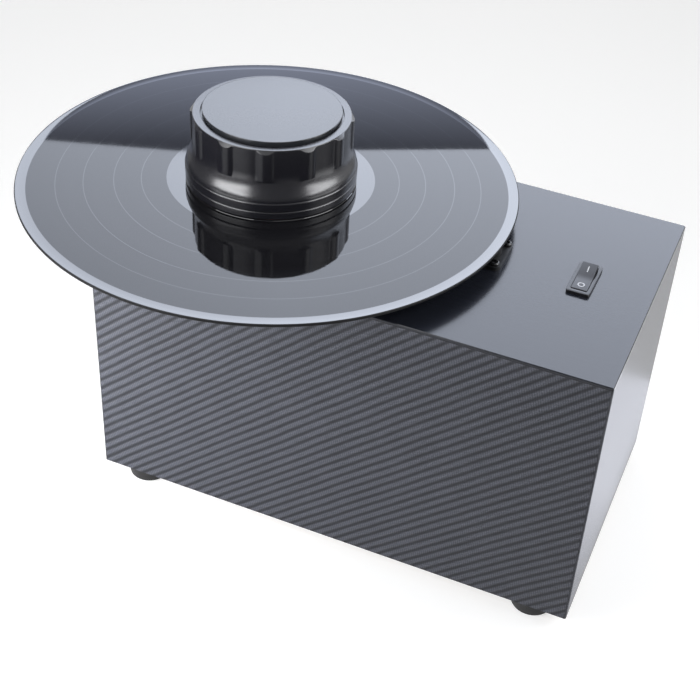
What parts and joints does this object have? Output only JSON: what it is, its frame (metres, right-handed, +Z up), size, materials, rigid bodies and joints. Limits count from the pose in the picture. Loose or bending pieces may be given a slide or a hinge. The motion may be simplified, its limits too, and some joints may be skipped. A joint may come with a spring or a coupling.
{
  "type": "record cleaning machine",
  "caption": "Benchtop record cleaning machine with a wrapped wooden cabinet, black metal top, vacuum bar, hand turner on a vinyl record, rocker switch, waste tank and suction motor.",
  "frame": {"origin": "On the surface that the machine stands on, under the middle of the whole machine as seen from above, which runs from the record's overhanging edge to the cabinet's far end.", "axes": "X along the cabinet's length towards the switch end, Y towards the rear face with its sockets, Z up."},
  "size_m": [0.3907, 0.3014, 0.2457],
  "materials": {
    "board": "bare medium-density board",
    "wrap": "satin vinyl film with a diagonal woven pattern",
    "anodised": "black anodised, brushed along its length",
    "rubber": "matt",
    "steel": "zinc plated",
    "bright_steel": "polished",
    "core_steel": "stacked laminations",
    "aluminium": "machined",
    "cap_metal": "black anodised, smooth satin",
    "brass": "bright",
    "bronze": "sintered",
    "copper": "enamelled",
    "carbon": "matt carbon",
    "black_plastic": "satin moulded",
    "dark_plastic": "matt moulded",
    "tank_plastic": "translucent white moulding",
    "switch_plastic": "semi-gloss moulded",
    "turner_plastic": "satin moulded",
    "pressed_vinyl": "pressed grooves, glossy",
    "paper": "plain printed paper",
    "velvet": "short pile",
    "grille_paint": "black powder coat",
    "wire_jacket": "insulated lead",
    "earth_jacket": "insulated lead"
  },
  "bodies": {
    "cabinet": {"front_panel": "board", "rear_panel": "board", "left_panel": "board", "right_panel": "board", "base_board": "board", "vinyl_wrap": "wrap", "feet": "rubber", "foot_screws": "steel", "top_plate": "anodised", "plate_brackets": "steel", "bracket_screws": "steel", "vacuum_bar": "black_plastic", "velvet_strips": "velvet", "plate_screws": "bright_steel", "manifold_gasket": "rubber", "suction_manifold": "dark_plastic", "suction_hose": "rubber", "waste_tank": "tank_plastic", "tank_lid": "tank_plastic", "lid_screws": "steel", "fan_housing": "steel", "motor_frame": "steel", "motor_bearings": "bright_steel", "stator_core": "core_steel", "stator_coils": "copper", "brush_holders": "brass", "carbon_brushes": "carbon", "drain_hose": "rubber", "drain_outlet": "black_plastic", "power_inlet": "black_plastic", "inlet_pins": "brass", "exhaust_grille": "grille_paint", "rear_screws": "steel", "switch_housing": "switch_plastic", "switch_terminals": "brass", "bearing_housing": "aluminium", "bearing_cap": "aluminium", "thrust_ball": "bright_steel", "bushes": "bronze", "mains_wires": "wire_jacket", "earth_lead": "earth_jacket"},
    "turntable": {"platter": "aluminium", "platter_mat": "rubber", "spindle": "bright_steel"},
    "lp_record": {"record": "pressed_vinyl", "record_labels": "paper"},
    "hand_turner": {"turner_base": "turner_plastic", "turner_seal": "rubber", "turner_bush": "bronze", "turner_weight": "steel", "turner_body": "turner_plastic", "turner_cap": "cap_metal", "turner_screws": "steel"},
    "rocker": {"switch_rocker": "switch_plastic"},
    "rotor": {"impeller": "aluminium", "motor_shaft": "steel", "armature": "core_steel", "commutator": "copper"},
    "outlet_cap": {"drain_cap": "black_plastic"}
  },
  "joints": [
    {"name": "platter_spin", "type": "hinge", "parent": "cabinet", "child": "turntable", "pos_m": [-0.04462, 0, 0.187], "axis": [0, 0, 1], "continuous": true},
    {"name": "record_lift", "type": "slide", "parent": "turntable", "child": "lp_record", "axis": [0, 0, 1], "range_m": [0, 0.04]},
    {"name": "turner_lift", "type": "slide", "parent": "lp_record", "child": "hand_turner", "axis": [0, 0, 1], "range_m": [0, 0.06]},
    {"name": "switch_rock", "type": "hinge", "parent": "cabinet", "child": "rocker", "pos_m": [0.15468, 0, 0.186], "axis": [-1, 0, 0], "range_deg": [0, 16]},
    {"name": "motor_spin", "type": "hinge", "parent": "cabinet", "child": "rotor", "pos_m": [0.09237, -0.004, 0.12], "axis": [0, 0, 1], "continuous": true},
    {"name": "drain_cap_pull", "type": "slide", "parent": "cabinet", "child": "outlet_cap", "axis": [0, 1, 0], "range_m": [0, 0.02]}
  ]
}
